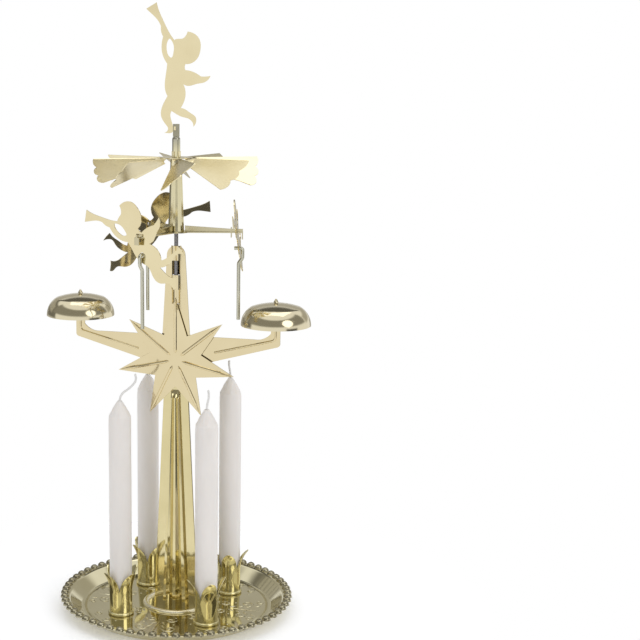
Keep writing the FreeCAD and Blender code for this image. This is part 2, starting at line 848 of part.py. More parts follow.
def star_rib():
    """One raised rib along +X, narrow at both ends."""
    inner_share, tip_share = star_rib_end_shares
    stations = (
        (star_rib_start, inner_share),
        (star_rib_start + 2 * star_rib_half_width, 1.0),
        (star_radius * star_rib_taper_share, 1.0),
        (star_radius * star_rib_tip_share, tip_share),
    )
    sections = []
    for radius, size_share in stations:
        wide = star_rib_half_width * size_share
        rise = star_rib_rise * size_share
        sections.append([Vector(radius, -up * rise, across * wide)
                         for across, up in star_rib_section_shares])
    return ruled(sections)


def make_star():
    corners = []
    for angle in ring_angles(star_points, 90.0):
        corners.append(polar(star_radius, angle))
        corners.append(polar(star_notch_radius, angle + 180.0 / star_points))
    upright = [Vector(p.x, 0, p.y) for p in corners]
    sheet = polygon(upright).extrude(Vector(0, star_sheet, 0))
    rib = star_rib()
    ribs = [turned(rib, -angle, Vector(0, 1, 0)) for angle in ring_angles(star_points, 90.0)]
    back = star_sheet
    tabs = []
    behind = star_back_place + stand_sheet_thickness / 2 + fit_gap
    for side in (-1, 1):
        root = side * star_tab_place
        edge = side * (star_tab_place + star_sheet)
        tip = side * (star_tab_place + star_tab_length)
        half = star_tab_width / 2
        tabs.append(box(Vector(min(root, edge), back, -half),
                        Vector(max(root, edge), back + behind + star_sheet, half)))
        tabs.append(box(Vector(min(root, tip), back + behind, -half),
                        Vector(max(root, tip), back + behind + star_sheet, half)))
    star = sheet.fuse(ribs + tabs)
    save("star", moved(star, Vector(0, -star_back_place - star_sheet, star_height)))


# Needle and pivot

def make_needle():
    shoulder = needle_tip_height - needle_cone_length
    shaft = cylinder(needle_radius, needle_foot_height, shoulder)
    tip = Part.makeCone(needle_radius, needle_tip_radius, needle_cone_length,
                        Vector(0, 0, shoulder))
    save("needle", shaft.fuse(tip))


def make_pivot_cup():
    foot = pivot_cup_foot_height
    body = cylinder(rotor_bore_radius - fit_gap, foot, foot + pivot_cup_height)
    recess = Part.makeCone(pivot_recess_radius, needle_tip_radius, pivot_cup_height / 2,
                           Vector(0, 0, foot))
    save("pivot_cup", body.cut(recess))


# Bells

def bell_arcs(sheet):
    """The two arcs of the bell's outside, or of its inside when a sheet is taken off."""
    def at(radius, height):
        return Vector(radius, 0, bell_rim_height + height)

    side_radius, side_height = bell_side_shares
    shoulder_radius, shoulder_height = bell_shoulder_shares
    side_in, side_down = bell_inner_side_shares
    shoulder_in, shoulder_down = bell_inner_shoulder_shares
    rim = at(bell_radius - sheet, 0)
    side = at(bell_radius * side_radius - sheet * side_in, bell_height * side_height - sheet * side_down)
    reach = bell_radius * shoulder_radius - sheet * shoulder_in
    shoulder_rise = bell_height * shoulder_height - sheet * shoulder_down
    shoulder = at(reach, shoulder_rise)
    drop = bell_height - sheet - shoulder_rise
    dome = (reach ** 2 + drop ** 2) / (2 * drop)

    def crown(radius):
        return at(radius, bell_height - sheet - dome + math.sqrt(dome ** 2 - radius ** 2))

    hole = crown(bell_hole_radius)
    middle = crown((bell_hole_radius + reach) / 2)
    return arc(rim, side, shoulder), arc(shoulder, middle, hole), rim, hole


def make_bells():
    outer_side, outer_crown, outer_rim, outer_hole = bell_arcs(0)
    inner_side, inner_crown, inner_rim, inner_hole = bell_arcs(bell_sheet)
    edges = [outer_side, outer_crown, inner_side, inner_crown,
             line(outer_rim, inner_rim), line(outer_hole, inner_hole)]
    bell = spun(Part.Face(Part.Wire(Part.__sortEdges__(edges))))
    foot = bell_top_height + free_gap
    side = [Vector(knob_radius * out, 0, foot + knob_height * up) for out, up in knob_shares]
    knob = spun(polygon([Vector(0, 0, foot), *side, Vector(0, 0, foot + knob_height)]))
    half_width = post_tongue_width / 2 + fit_gap
    half_depth = stand_sheet_thickness / 2 + fit_gap
    knob = knob.cut(box(Vector(-half_width, -half_depth, foot - cut_overrun),
                        Vector(half_width, half_depth, post_tongue_height + fit_gap)))
    for name, side in (("left", -1), ("right", 1)):
        step = Vector(side * bell_offset, 0, 0)
        save("bell_" + name, moved(bell, step))
        save("bell_knob_" + name, moved(knob, step))


# Rotor

def fluted_outline(radius, height):
    outline = []
    for angle in ring_angles(flute_count, 0.0):
        outline.append(polar(radius, angle, height))
        outline.append(polar(radius * (1 - flute_depth_share), angle + 180.0 / flute_count, height))
    return outline


def make_rotor_tube():
    shoulder = fan_height - fit_gap
    skirt = ruled([fluted_outline(rotor_foot_radius, rotor_foot_height),
                   fluted_outline(rotor_shoulder_radius, shoulder)])
    dome_foot = rotor_top_height - rotor_dome_height
    flat = clip_pin_radius * 2
    out_share, up_share = dome_round_shares
    rounded = Vector(flat + (rotor_neck_radius - flat) * out_share, 0,
                     dome_foot + rotor_dome_height * up_share)
    neck = spun(face_of([
        line(Vector(0, 0, shoulder), Vector(rotor_neck_radius, 0, shoulder)),
        line(Vector(rotor_neck_radius, 0, shoulder), Vector(rotor_neck_radius, 0, dome_foot)),
        arc(Vector(rotor_neck_radius, 0, dome_foot), rounded, Vector(flat, 0, rotor_top_height)),
        line(Vector(flat, 0, rotor_top_height), Vector(0, 0, rotor_top_height)),
        line(Vector(0, 0, rotor_top_height), Vector(0, 0, shoulder)),
    ]))
    wide = rotor_foot_radius * (1 - flute_depth_share) - rotor_wall
    bore_top = pivot_cup_foot_height + pivot_cup_height + fit_gap
    cone = Part.makeCone(wide, rotor_bore_radius, shoulder - rotor_foot_height,
                         Vector(0, 0, rotor_foot_height))
    mouth = cylinder(wide, rotor_foot_height - cut_overrun, rotor_foot_height)
    bore = cylinder(rotor_bore_radius, rotor_foot_height, bore_top)
    pin_hole = cylinder(clip_pin_radius + fit_gap, bore_top - cut_overrun,
                        rotor_top_height + cut_overrun)
    tube = skirt.fuse(neck)
    save("rotor_tube", tube.cut([cone, mouth, bore, pin_hole]))


# Fan

def blade_outline():
    """One flat blade, hinged on +X, with a scalloped outer edge on its clockwise side."""
    notch = fan_radius - scallop_depth
    step = blade_angle / scallop_count
    edges = [line(Vector(blade_root_radius, 0, 0), Vector(fan_radius, 0, 0))]
    place = Vector(fan_radius, 0, 0)
    for number in range(scallop_count):
        middle = polar(fan_radius, -number * step - step / 2)
        end = polar(notch, -(number + 1) * step)
        edges.append(arc(place, middle, end))
        place = end
    root = polar(blade_root_radius, -blade_angle)
    edges += [line(place, root), line(root, Vector(blade_root_radius, 0, 0))]
    return face_of(edges)


def blade_neck():
    """The twisted neck between the flat hub and the tilted blade."""
    tilt = math.radians(blade_tilt)
    sections = []
    for radius, slant in ((blade_neck_start, 0.0), (blade_root_radius + blade_neck_overlap, tilt)):
        wide = radius * math.sin(math.radians(blade_angle)) * blade_neck_share
        corners = ((0, 0), (-wide, 0), (-wide, fan_sheet), (0, fan_sheet))
        sections.append([Vector(radius, y * math.cos(slant) - z * math.sin(slant),
                                y * math.sin(slant) + z * math.cos(slant)) for y, z in corners])
    return ruled(sections)


def make_fan():
    blade = blade_outline().extrude(Vector(0, 0, fan_sheet))
    blade = turned(blade, blade_tilt, ALONG_X).fuse(blade_neck())
    hub = cylinder(fan_hub_radius, 0, fan_sheet)
    blades = [turned(blade, angle) for angle in ring_angles(blade_count, blade_first_angle)]
    bore = rotor_neck_radius + fit_gap
    tab = box(Vector(bore, -fan_tab_width / 2, 0),
              Vector(bore + fan_sheet, fan_tab_width / 2, fan_sheet + fan_tab_height))
    tabs = [turned(tab, angle) for angle in ring_angles(fan_tab_count, fan_tab_first_angle)]
    hole = cylinder(bore, -cut_overrun, fan_sheet + fan_tab_height + cut_overrun)
    fan = hub.fuse(blades + tabs).cut(hole)
    save("fan", moved(fan, Vector(0, 0, fan_height)))


# Spider

def spider_arm():
    """One arm along +X: a flat strip with a ridge on top, ears before its angel and a hook."""
    root = arm_root_width / 2
    end = arm_end_width / 2
    tab = arm_tab_width / 2
    foot = spider_foot_height
    top = spider_top_height
    strip = polygon([Vector(0, -root, foot), Vector(spider_hub_radius, -root, foot),
                     Vector(arm_end_radius, -end, foot), Vector(arm_end_radius, end, foot),
                     Vector(spider_hub_radius, root, foot), Vector(0, root, foot)])
    strip = strip.extrude(Vector(0, 0, spider_sheet))
    outer = arm_tab_radius + spider_sheet
    tongue = box(Vector(arm_end_radius - end, -tab, foot), Vector(outer, tab, top))
    hook = box(Vector(arm_tab_radius, -tab, foot - arm_hook_reach), Vector(outer, tab, top))
    ear = box(Vector(arm_end_radius - spider_sheet, -arm_ear_width / 2, foot - arm_ear_reach),
              Vector(arm_end_radius, arm_ear_width / 2, top + arm_ear_reach))
    start = rotor_foot_radius + free_gap
    half = arm_ridge_width / 2
    ridge = polygon([Vector(start, -half, top), Vector(outer, -half, top),
                     Vector(outer, -half, top + arm_ridge_end_height),
                     Vector(arm_end_radius, -half, top + arm_ridge_end_height),
                     Vector(start, -half, top + arm_ridge_root_height)])
    ridge = ridge.extrude(Vector(0, arm_ridge_width, 0))
    return strip.fuse([tongue, hook, ear, ridge])


def make_spider():
    arm = spider_arm()
    arms = [turned(arm, angle) for angle in ring_angles(arm_count, arm_first_angle)]
    hub = cylinder(spider_hub_radius, spider_foot_height, spider_top_height)
    bore = cylinder(spider_bore_radius, spider_foot_height - cut_overrun,
                    spider_top_height + cut_overrun)
    save("spider", hub.fuse(arms).cut(bore))


# Angels

def figure_place(shares):
    across, up = shares
    return Vector(across * figure_height, 0, up * figure_height)


def angel_figure(legs_shares):
    """The figure as a flat plate that faces -Y, half its sheet on either side of Y = 0."""
    stretches = upper_front_shares + legs_shares + upper_back_shares
    edges = [curve([figure_place(p) for p in stretch]) for stretch in stretches]
    gap_points = [figure_place(p) for p in arm_gap_shares]
    gap = Part.BSplineCurve()
    gap.interpolate(gap_points, PeriodicFlag=True)
    depth = Vector(0, figure_sheet, 0)
    plate = face_of(edges).extrude(depth)
    hole = face_of([gap.toShape()])
    hole.translate(-depth)
    plate = plate.cut(hole.extrude(depth * 3))
    return moved(plate, -depth / 2)


def to_flying(place):
    """A place of the upright figure, in the frame of a flying one with its pivot at 0."""
    step = place - figure_place(slot_place_shares)
    turn = math.radians(flying_turn)
    return Vector(step.x * math.cos(turn) - step.z * math.sin(turn), step.y,
                  step.x * math.sin(turn) + step.z * math.cos(turn) - slot_height / 2)


def make_flying_angel():
    """One flying angel at the front, hung on its slot, and leaning out at its foot."""
    plate = angel_figure(flying_legs_shares)
    plate.translate(-figure_place(slot_place_shares))
    plate.rotate(CENTRE, TOWARDS_FRONT, flying_turn)
    plate.translate(Vector(0, 0, -slot_height / 2))
    slot = box(Vector(-slot_width / 2, -cut_overrun, -slot_height),
               Vector(slot_width / 2, cut_overrun, 0))
    hook = to_flying(figure_place(hook_hole_place_shares))
    hole = Part.makeCylinder(rod_radius + free_gap, 2 * cut_overrun,
                             hook + Vector(0, cut_overrun, 0), TOWARDS_FRONT)
    plate = plate.cut([slot, hole])
    plate.rotate(CENTRE, ALONG_X, -flying_lean)
    return moved(plate, Vector(0, -flying_radius, flying_pivot_height))


def hook_place():
    """Where the hook of the front angel's rod passes through its plate."""
    place = to_flying(figure_place(hook_hole_place_shares))
    lean = math.radians(flying_lean)
    return Vector(place.x, place.z * math.sin(lean) - flying_radius,
                  place.z * math.cos(lean) + flying_pivot_height)


def make_rod():
    """One rod at the front: a tail inside the plate, a hook round its edge, and the shank."""
    hole = hook_place()
    bend = hook_bend_radius

    def at(inward, drop):
        return Vector(hole.x, hole.y + inward, hole.z - drop)

    foot = Vector(hole.x, hole.y, rod_foot_height)
    return pipe([
        (at(hook_tail, 0), 0),
        (at(-hook_offset, 0), bend),
        (at(-hook_offset, hook_drop), 2 * bend),
        (at(0, hook_drop + hook_return), 2 * bend),
        (foot, 0),
    ], rod_radius)


def make_flying_angels():
    angel = make_flying_angel()
    rod = make_rod()
    for number, angle in enumerate(ring_angles(arm_count, arm_first_angle), 1):
        save(f"angel_{number}", turned(angel, angle + 90))
        save(f"striker_{number}", turned(rod, angle + 90))


def make_top_angel():
    plate = angel_figure(standing_legs_shares)
    low, high = (figure_place(p) for p in foot_tab_shares)
    half = figure_sheet / 2
    tab = box(Vector(low.x, -half, low.z), Vector(high.x, half, high.z))
    plate = plate.fuse(tab)
    plate.translate(Vector(0, 0, top_angel_foot_height))
    save("top_angel", turned(plate, top_angel_turn))


def make_angel_clip():
    """A folded strip with a leaf on either side of the top angel's foot, on a pin."""
    foot = rotor_top_height + fit_gap
    floor = foot + clip_sheet
    half = clip_width / 2
    outer = clip_gap + clip_sheet
    base = box(Vector(-half, -outer, foot), Vector(half, outer, floor))
    pin = cylinder(clip_pin_radius, foot - rotor_dome_height / 2, floor)
    leaves = []
    for side in (-1, 1):
        near, far = sorted((side * clip_gap, side * outer))
        leaves.append(box(Vector(-half, near, foot), Vector(half, far, clip_top_height)))
    left = -half + clip_sheet
    window_top = clip_top_height - clip_sheet
    window = box(Vector(left, -outer - cut_overrun, window_top - clip_window_height),
                 Vector(left + clip_window_width, 0, window_top))
    clip = base.fuse([pin, *leaves]).cut(window)
    save("angel_clip", turned(clip, top_angel_turn))


os.makedirs("parts", exist_ok=True)
save("tray", make_tray())
make_cups()
make_cup_rivets()
make_candles()
make_pillar()
make_stand()
make_star()
make_needle()
make_pivot_cup()
make_bells()
make_rotor_tube()
make_fan()
make_spider()
make_flying_angels()
make_top_angel()
make_angel_clip()
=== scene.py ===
import math

import bmesh
import bpy
from mathutils import Matrix, Vector, noise


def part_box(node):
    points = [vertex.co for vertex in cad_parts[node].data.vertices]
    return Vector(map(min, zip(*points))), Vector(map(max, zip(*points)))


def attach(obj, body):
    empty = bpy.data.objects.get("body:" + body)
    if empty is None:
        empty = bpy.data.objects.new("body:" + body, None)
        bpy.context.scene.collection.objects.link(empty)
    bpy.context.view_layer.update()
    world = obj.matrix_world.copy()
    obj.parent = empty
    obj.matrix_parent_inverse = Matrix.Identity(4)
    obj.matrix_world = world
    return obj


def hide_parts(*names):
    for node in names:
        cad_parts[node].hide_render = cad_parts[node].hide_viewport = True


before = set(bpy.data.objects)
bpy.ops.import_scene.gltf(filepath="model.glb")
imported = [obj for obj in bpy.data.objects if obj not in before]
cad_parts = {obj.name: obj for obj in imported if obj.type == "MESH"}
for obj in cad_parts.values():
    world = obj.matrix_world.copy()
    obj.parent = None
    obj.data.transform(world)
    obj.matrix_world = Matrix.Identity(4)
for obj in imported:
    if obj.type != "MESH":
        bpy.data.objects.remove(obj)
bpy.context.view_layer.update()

MM = 0.001


def middle(name):
    """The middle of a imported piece, in millimetres."""
    low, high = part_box(name)
    return (Vector(low) + Vector(high)) / (2 * MM)


def heights(name):
    """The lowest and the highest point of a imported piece, in millimetres."""
    low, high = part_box(name)
    return low[2] / MM, high[2] / MM


# Tray, in millimetres. The wall's corners are radii and heights over the floor

TRAY_FLOOR = heights("candle_cup_1")[0]
TRAY_SHEET = 0.5
TRAY_SEGMENTS = 256
HUB_RADIUS = 13.6
RING_RADIUS = 15.4
RING_HEIGHT = 1.5
RING_HALF_WIDTH = 1.55
RING_LIFT = 0.03
RING_HOLLOW_HALF_WIDTH = 1.1
RING_STEPS = 16
RING_HOLLOW_STEPS = 12
# The band over the ring that is coloured paler, as a painted highlight
RING_HIGHLIGHT_HALF_WIDTH = 1.5
RING_HIGHLIGHT_LIFT = 0.05
WALL_CORNERS = ((17.4, 0.0), (45.5, 0.0), (46.5, -1.0), (48.0, -1.0), (54.5, 5.3), (57.35, 5.3))
WALL_ROUNDING = 3.2
BEAD_COUNT = 64
BEAD_RADIUS = 2.2
BEAD_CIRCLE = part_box("tray")[1][0] / MM - BEAD_RADIUS
BEAD_FOOT = heights("tray")[1] - BEAD_RADIUS
BEAD_SEGMENTS = 24

# Relief in the tray's floor, whose motif comes in a wide and a narrow form, turn about. A curl has the radius
# and lean of its middle, its size, its start and its turns. Leaves have their count and their two ends. An
# end, or the place of a dot, has a radius with its step from one to the next, and a lean with its step.
# Leans are degrees to either side of the motif's middle

MOTIFS = 8
WIDE_CURLS = (
    (36.0, 12.0, 5.0, -100, 1.5),
    (25.0, 11.0, 3.6, 130, -1.3),
    (42.6, 15.5, 2.4, 40, -1.2),
)
NARROW_CURLS = (
    (41.4, 6.2, 2.9, -60, 1.25),
    (22.5, 6.0, 2.6, 120, -1.2),
)
WIDE_LEAVES = (4, (28.0, 4.2, 3.0, 1.4), (31.2, 4.2, 6.4, 1.0))
NARROW_LEAVES = (2, (19.2, 1.6, 3.0, 0.0), (20.0, 2.6, 9.5, 0.0))
CURL_HALF_WIDTH = 0.46
CURL_HEIGHT = 0.3
CURL_EYE = 0.5
CURL_STEPS = 40
LEAF_HEIGHT = 0.32
DOT_COUNT = 3
DOT_PLACE = (22.0, 8.5, 17.0, -2.5)
DOT_HALF_LENGTH = 0.56
DOT_HEIGHT = 0.2
STEM_ENDS = (29.0, 44.0)
STEM_HEIGHT = 0.24

# Bells, in millimetres. Each arc of the outline goes through three points, as radii and heights over the rim

BELL_RADIUS = 17.0
BELL_HEIGHT = 10.7
BELL_SHEET = 0.6
BELL_BORE = 0.9
BELL_INWARD_SHARE = 1.15
BELL_DOWN_SHARE = 1.2
BELL_SIDE_ARC = ((BELL_RADIUS, 0.0), (15.895, 4.708), (12.308, 8.603))
BELL_SIDE_STEPS = 18
BELL_TOP_ARC = ((12.308, 8.603), (6.6, 10.12), (BELL_BORE, 10.69))
BELL_TOP_STEPS = 14
BELL_SEGMENTS = 128

# Candles and wicks, in millimetres. The outline of a candle's seat has radii and heights over its foot, and
# that of the wick's hole has radii and heights over its tip. A wick has its length, the side that it leans
# to in degrees, and its bends, as shares of its length and degrees

CANDLE_RADIUS = 5.6
CANDLE_SEGMENTS = 72
CANDLE_STEPS = 44
SEAT_HEIGHT = 12.4
SEAT_OUTLINE = ((0.0, 0.0), (4.4, 0.0), (5.0, 0.6), (5.0, SEAT_HEIGHT), (5.25, 14.4), (CANDLE_RADIUS, 16.9))
POINT_HEIGHT = 7.6
POINT_RADIUS = 1.1
POINT_BULGE_SHARES = (0.67, 0.48)
POINT_STEPS = 12
SHOULDER_GAP = 0.4
SHOULDER_MIDDLE = 2.0
SHOULDER_REACH = 5.0
TIP_EDGE = 0.5
WICK_HOLE_OUTLINE = ((0.75, 0.0), (0.66, -0.35), (0.66, -3.8), (0.0, -3.8))
DENT_DEPTH = 0.10
DENT_SCALES = (2.0, 0.06)
CANDLE_OFFSET = 9.0
RIPPLE_DEPTH = 0.04
RIPPLE_SCALES = (2.3, 0.45)
SHOULDER_RIPPLE_DEPTH = 0.5
WICK_ROOT = 3.7
STRAND_COUNT = 3
STRAND_RADIUS = 0.32
STRAND_END_RADIUS = 0.22
STRAND_OFFSET = 0.26
STRAND_TWIST = 0.11
STRAND_ASIDE = (0.1, 0.99, 0.0)
WICKS = (
    (9.0, 190.0, ((0.5, 12.0), (0.5, -16.0))),
    (9.5, 120.0, ((0.5, 14.0), (0.5, -24.0))),
    (16.5, 20.0, ((0.36, 58.0), (0.34, -18.0), (0.3, -66.0))),
    (9.5, 60.0, ((0.45, 22.0), (0.55, -42.0))),
)

# Neck of the rotor, in metres, which the hot air has turned grey

NECK_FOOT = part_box("fan")[1][2]
NECK_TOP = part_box("rotor_tube")[1][2]

# Camera: its place in metres, its turn in degrees, its sensor and lens in millimetres

CAMERA_PLACE = (0.2047, -0.6694, 0.274)
CAMERA_TURN = (80.0, 0.0, 17.0)
CAMERA_SENSOR = 36.0
CAMERA_LENS = 80.95
CAMERA_SHIFT = (0.2245, -0.0078)
CAMERA_NEAR = 0.01

# Studio. The screens stand on a dome round the object, in metres, and their sides are counted in degrees
# from the side that the camera stands on. The paper's radius is in millimetres, and its fade in metres

VIEW_SIDE = -73.0
DOME_RADIUS = 1.7
DOME_HEIGHT = 0.15
SCREEN_STEPS = 32
SCREEN_TINT = (1.0, 0.97, 0.88, 1)
PAPER_RADIUS = 900.0
PAPER_RINGS = 15
PAPER_SEGMENTS = 96
PAPER_FADE = (0.07, 0.16)
PAPER_GLOW = 0.14
WORLD_TINT = (0.97, 0.98, 1.0, 1)
WORLD_STRENGTH = 0.85


def add_camera():
    data = bpy.data.cameras.new("camera")
    data.sensor_width = CAMERA_SENSOR
    data.lens = CAMERA_LENS
    data.shift_x, data.shift_y = CAMERA_SHIFT
    data.clip_start = CAMERA_NEAR
    camera = bpy.data.objects.new("camera", data)
    camera.location = CAMERA_PLACE
    camera.rotation_euler = [math.radians(turn) for turn in CAMERA_TURN]
    bpy.context.scene.collection.objects.link(camera)
    bpy.context.scene.camera = camera


add_camera()
bpy.context.scene.view_settings.view_transform = "Standard"


# Material helpers

class Shader:
    """A Principled material, and short ways to add the nodes that feed it."""

    def __init__(self, name):
        self.material = bpy.data.materials.new(name)
        self.material.use_nodes = True
        self.tree = self.material.node_tree
        self.main = self.tree.nodes["Principled BSDF"]
        self.place = self.add("ShaderNodeTexCoord").outputs["Object"]

    def add(self, kind, **values):
        node = self.tree.nodes.new(kind)
        for key, value in values.items():
            setattr(node, key, value)
        return node

    def link(self, source, target):
        self.tree.links.new(source, target)

    def feed(self, source, socket):
        """Links a node to a socket of the Principled node."""
        self.link(source, self.main.inputs[socket])

    def noise(self, scale, detail=3.0, rough=0.5, stretch=(1, 1, 1)):
        """Noise over the surface, with scale in features per millimetre."""
        mapping = self.add("ShaderNodeMapping")
        mapping.inputs["Scale"].default_value = [factor / MM for factor in stretch]
        self.link(self.place, mapping.inputs["Vector"])
        node = self.add("ShaderNodeTexNoise")
        node.inputs["Scale"].default_value = scale
        node.inputs["Detail"].default_value = detail
        node.inputs["Roughness"].default_value = rough
        self.link(mapping.outputs["Vector"], node.inputs["Vector"])
        return node.outputs["Fac"]

    def spread(self, source, low, high, start=0.3, end=0.7):
        """Maps start to low and end to high, and holds the source between them."""
        node = self.add("ShaderNodeMapRange")
        for key, value in (("From Min", start), ("From Max", end), ("To Min", low), ("To Max", high)):
            node.inputs[key].default_value = value
        self.link(source, node.inputs["Value"])
        return node.outputs["Result"]

    def blend(self, source, first, second):
        node = self.add("ShaderNodeMix", data_type="RGBA")
        node.inputs["A"].default_value = (*first, 1)
        node.inputs["B"].default_value = (*second, 1)
        self.link(source, node.inputs["Factor"])
        return node.outputs["Result"]

    def total(self, first, second):
        node = self.add("ShaderNodeMath", operation="ADD")
        self.link(first, node.inputs[0])
        self.link(second, node.inputs[1])
        return node.outputs["Value"]

    def bump(self, height, distance, strength=1.0, below=None):
        """A bump whose distance is in millimetres, on top of the one below."""
        node = self.add("ShaderNodeBump")
        node.inputs["Distance"].default_value = distance * MM
        node.inputs["Strength"].default_value = strength
        self.link(height, node.inputs["Height"])
        if below is not None:
            self.link(below, node.inputs["Normal"])
        return node.outputs["Normal"]

    def bevel(self, radius):
        node = self.add("ShaderNodeBevel", samples=4)
        node.inputs["Radius"].default_value = radius * MM
        return node.outputs["Normal"]

    def tarnish(self, tone, low, high, grey=(0.30, 0.30, 0.28), share=0.8):
        """Turns a tone grey between two heights, in metres, up to that share."""
        split = self.add("ShaderNodeSeparateXYZ")
        self.link(self.place, split.inputs["Vector"])
        node = self.add("ShaderNodeMix", data_type="RGBA")
        self.link(self.spread(split.outputs["Z"], 0.0, share, low, high), node.inputs["Factor"])
        self.link(tone, node.inputs["A"])
        node.inputs["B"].default_value = (*grey, 1)
        return node.outputs["Result"]


def brass(name, light, dark, rough, wave, wave_scale, edge=None, grain=(1, 1, 1), tarnish=None):
    """Polished brass: blotches of tone, hazy patches, fine scratches and a slightly wavy sheet.

    rough is its least and its most roughness, wave the height of the sheet's waves in millimetres,
    wave_scale their number in a millimetre, edge the rounding of its edges, grain the way that the
    scratches run, and tarnish the two heights between which it turns grey."""
    s = Shader(name)
    s.main.inputs["Metallic"].default_value = 1.0
    blotch = s.noise(scale=0.045, detail=4.0, rough=0.6)
    tone = s.blend(s.spread(blotch, 0.0, 1.0), light, dark)
    s.feed(s.tarnish(tone, *tarnish) if tarnish else tone, "Base Color")
    haze = s.noise(scale=0.11, detail=5.0, rough=0.65)
    scratch = s.noise(scale=0.9, detail=3.0, rough=0.6, stretch=grain)
    least, most = rough
    scratched = s.spread(scratch, 0.0, 0.03, start=0.55, end=0.8)
    s.feed(s.total(s.spread(haze, least, most), scratched), "Roughness")
    below = s.bevel(edge) if edge else None
    waves = s.noise(scale=wave_scale, detail=2.0, rough=0.4)
    wavy = s.bump(waves, distance=wave, strength=0.35, below=below)
    s.feed(s.bump(scratch, distance=0.002, strength=0.3, below=wavy), "Normal")
    return s.material


def steel():
    s = Shader("needle_steel")
    s.main.inputs["Metallic"].default_value = 1.0
    turned = s.noise(scale=0.9, detail=3.0, rough=0.6, stretch=(0.2, 0.2, 3.0))
    s.feed(s.blend(s.spread(turned, 0, 1), (0.16, 0.16, 0.18), (0.30, 0.29, 0.29)), "Base Color")
    s.feed(s.spread(turned, 0.2, 0.4), "Roughness")
    s.feed(s.bump(turned, distance=0.01, strength=0.5), "Normal")
    return s.material


def wax():
    s = Shader("candle_wax")
    cloud = s.noise(scale=0.12, detail=4.0, rough=0.6, stretch=(1, 1, 0.35))
    s.feed(s.blend(s.spread(cloud, 0, 1), (0.84, 0.80, 0.76), (0.79, 0.75, 0.71)), "Base Color")
    s.feed(s.spread(s.noise(scale=0.4, detail=3.0), 0.34, 0.5), "Roughness")
    s.main.inputs["Subsurface Weight"].default_value = 0.35
    s.main.inputs["Subsurface Radius"].default_value = (1.0, 0.9, 0.8)
    s.main.inputs["Subsurface Scale"].default_value = 2.5 * MM
    s.main.inputs["Specular IOR Level"].default_value = 0.45
    streaks = s.noise(scale=0.5, detail=3.0, rough=0.5, stretch=(1, 1, 0.08))
    drawn = s.bump(streaks, distance=0.06, strength=0.35)
    s.feed(s.bump(s.noise(scale=2.2, detail=2.0), distance=0.02, strength=0.3, below=drawn), "Normal")
    return s.material


def cotton():
    s = Shader("wick_cotton")
    fibre = s.noise(scale=4.0, detail=3.0, rough=0.7)
    s.feed(s.blend(s.spread(fibre, 0, 1), (0.86, 0.85, 0.83), (0.68, 0.66, 0.63)), "Base Color")
    s.feed(s.spread(fibre, 0.55, 0.8), "Roughness")
    s.feed(s.bump(fibre, distance=0.05, strength=0.8), "Normal")
    return s.material


# Materials

DRAWN = (3, 3, 0.4)
PULLED = (1, 1, 0.1)

TRAY_BRASS = brass("tray_brass", (0.70, 0.65, 0.45), (0.64, 0.585, 0.385),
                   rough=(0.05, 0.12), wave=0.4, wave_scale=0.06)
# The beads are the tray's own pressed sheet, given a darker brass here as painted shade
BEAD_SHADED_BRASS = brass("bead_brass_painted_shade", (0.44, 0.41, 0.29), (0.30, 0.27, 0.18),
                   rough=(0.08, 0.18), wave=0.4, wave_scale=0.2)
# The ring is the tray's own pressed sheet, given a paler brass here as a painted highlight
RING_HIGHLIGHT_BRASS = brass("ring_brass_painted_highlight", (0.92, 0.86, 0.66), (0.86, 0.79, 0.58),
                   rough=(0.2, 0.32), wave=0.2, wave_scale=0.1)
FAN_BRASS = brass("fan_brass", (0.82, 0.74, 0.50), (0.77, 0.68, 0.44),
                  rough=(0.2, 0.26), wave=0.16, wave_scale=0.03, edge=0.05)
CUP_BRASS = brass("cup_brass", (0.79, 0.73, 0.44), (0.69, 0.62, 0.34),
                  rough=(0.06, 0.14), wave=0.6, wave_scale=0.09, edge=0.15)
PILLAR_BRASS = brass("pillar_brass", (0.73, 0.645, 0.375), (0.66, 0.575, 0.315),
                     rough=(0.04, 0.1), wave=0.3, wave_scale=0.04, edge=0.12, grain=DRAWN)
SHEET_BRASS = brass("sheet_brass", (0.755, 0.655, 0.42), (0.715, 0.61, 0.38),
                    rough=(0.06, 0.13), wave=0.24, wave_scale=0.04, edge=0.05)
FIGURE_BRASS = brass("figure_brass", (0.79, 0.70, 0.45), (0.75, 0.65, 0.405),
                     rough=(0.06, 0.13), wave=0.24, wave_scale=0.04, edge=0.05)
BELL_BRASS = brass("bell_brass", (0.74, 0.67, 0.48), (0.69, 0.62, 0.43),
                   rough=(0.1, 0.15), wave=0.1, wave_scale=0.05)
TUBE_BRASS = brass("tube_brass", (0.74, 0.68, 0.46), (0.64, 0.58, 0.36),
                   rough=(0.08, 0.18), wave=0.4, wave_scale=0.08, edge=0.12, grain=DRAWN,
                   tarnish=(NECK_FOOT, NECK_TOP))
ARM_BRASS = brass("arm_brass", (0.60, 0.55, 0.38), (0.50, 0.45, 0.29),
                  rough=(0.1, 0.2), wave=0.4, wave_scale=0.06, edge=0.1)
CLIP_BRASS = brass("clip_brass", (0.40, 0.38, 0.29), (0.30, 0.28, 0.20),
                   rough=(0.15, 0.3), wave=0.4, wave_scale=0.1, edge=0.1)
ROD_BRASS = brass("rod_brass", (0.58, 0.57, 0.47), (0.52, 0.51, 0.41),
                  rough=(0.2, 0.28), wave=0.0, wave_scale=0.2, grain=PULLED)
STEEL = steel()
WAX = wax()
COTTON = cotton()

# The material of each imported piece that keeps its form, by the first letters of its name

